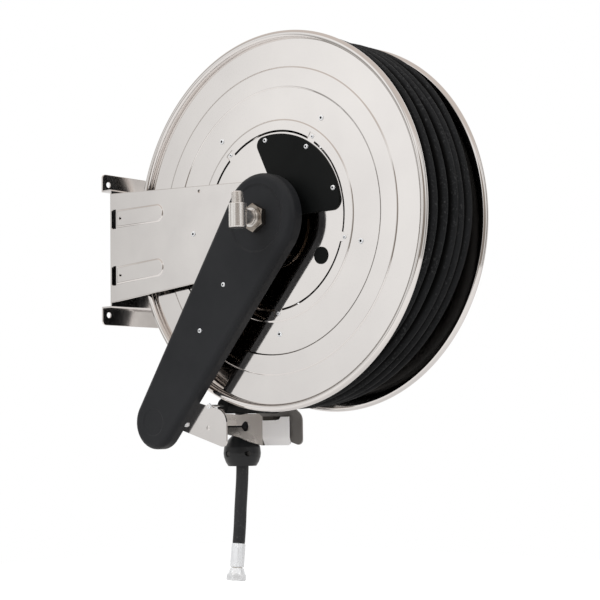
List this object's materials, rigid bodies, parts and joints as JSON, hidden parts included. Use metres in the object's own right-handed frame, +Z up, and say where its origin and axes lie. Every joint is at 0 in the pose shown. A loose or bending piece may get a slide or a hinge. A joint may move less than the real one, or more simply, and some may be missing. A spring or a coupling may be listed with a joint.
{
  "type": "hose reel",
  "caption": "Wall-mounted spring-rewind hose reel: open stainless drum with a wound black hose, bracket, outlet arm with roller guide, and turning inlet.",
  "frame": {"origin": "centre of the four wall holes, on the wall plane", "axes": "+X away from the wall, Y along the drum's axle with the inlet side at -Y, +Z up"},
  "size_m": [0.615, 0.2497, 0.7874],
  "materials": {
    "stainless": "satin",
    "zinc": "zinc plated",
    "dark_steel": "plain",
    "black_plastic": "satin moulded",
    "hose_rubber": "scuffed",
    "brass": "plain"
  },
  "bodies": {
    "frame": {"wall_bracket": "stainless", "bracket_rivets": "zinc", "axle": "stainless", "axle_nut_front": "stainless", "axle_nut_rear": "stainless", "axle_washer_rear": "stainless", "swivel_collar": "zinc", "arm_plate": "stainless", "arm_bolts": "zinc", "arm_cover": "black_plastic", "arm_cover_screws": "zinc", "spring_arbor": "dark_steel", "pawl_pin": "zinc", "pawl_leaf": "dark_steel", "hose_run": "hose_rubber", "guide_plate_rear": "stainless", "guide_web": "stainless", "guide_stop_plate": "stainless", "rod_upper": "zinc", "rod_lower": "zinc", "rod_nuts": "zinc", "hose_tail": "hose_rubber", "hose_stop_front": "black_plastic", "hose_stop_back": "black_plastic", "hose_stop_screws": "zinc", "hose_ferrule": "zinc", "hose_insert": "zinc", "hose_nut": "zinc"},
    "drum": {"front_flange": "stainless", "rear_flange": "stainless", "drum_core": "stainless", "flange_rivets_front": "zinc", "flange_rivets_rear": "zinc", "hub_disc_front": "stainless", "hub_disc_rear": "stainless", "hub_screws_front": "zinc", "hub_screws_rear": "zinc", "hub_cover": "black_plastic", "hub_cover_screws": "zinc", "hub_plug": "black_plastic", "hub_sleeve": "dark_steel", "bearing_front": "brass", "bearing_rear": "brass", "swivel_seals": "hose_rubber", "feed_pipe": "zinc", "feed_fitting": "brass", "spring_case": "dark_steel", "power_spring": "dark_steel", "ratchet_wheel": "dark_steel", "hose_core": "hose_rubber", "hose_coil": "hose_rubber"},
    "inlet": {"inlet_elbow": "stainless"},
    "pawl": {"pawl": "dark_steel"},
    "upper_roller": {"roller_upper": "black_plastic"},
    "lower_roller": {"roller_lower": "black_plastic"}
  },
  "joints": [
    {"name": "drum_spin", "type": "hinge", "parent": "frame", "child": "drum", "pos_m": [0.345, 0, 0.012], "axis": [0, 1, 0], "continuous": true},
    {"name": "inlet_swivel", "type": "hinge", "parent": "frame", "child": "inlet", "pos_m": [0.345, -0.142, 0.012], "axis": [0, 1, 0], "continuous": true},
    {"name": "upper_roller_spin", "type": "hinge", "parent": "frame", "child": "upper_roller", "pos_m": [0.233, 0, -0.2475], "axis": [0, 1, 0], "continuous": true},
    {"name": "lower_roller_spin", "type": "hinge", "parent": "frame", "child": "lower_roller", "pos_m": [0.18475, 0, -0.273], "axis": [0, 1, 0], "continuous": true},
    {"name": "pawl_pivot", "type": "hinge", "parent": "frame", "child": "pawl", "pos_m": [0.253, 0.0703, 0.044], "axis": [0, -1, 0], "range_deg": [0, 22], "stiffness_Nm_per_rad": 0.05}
  ]
}
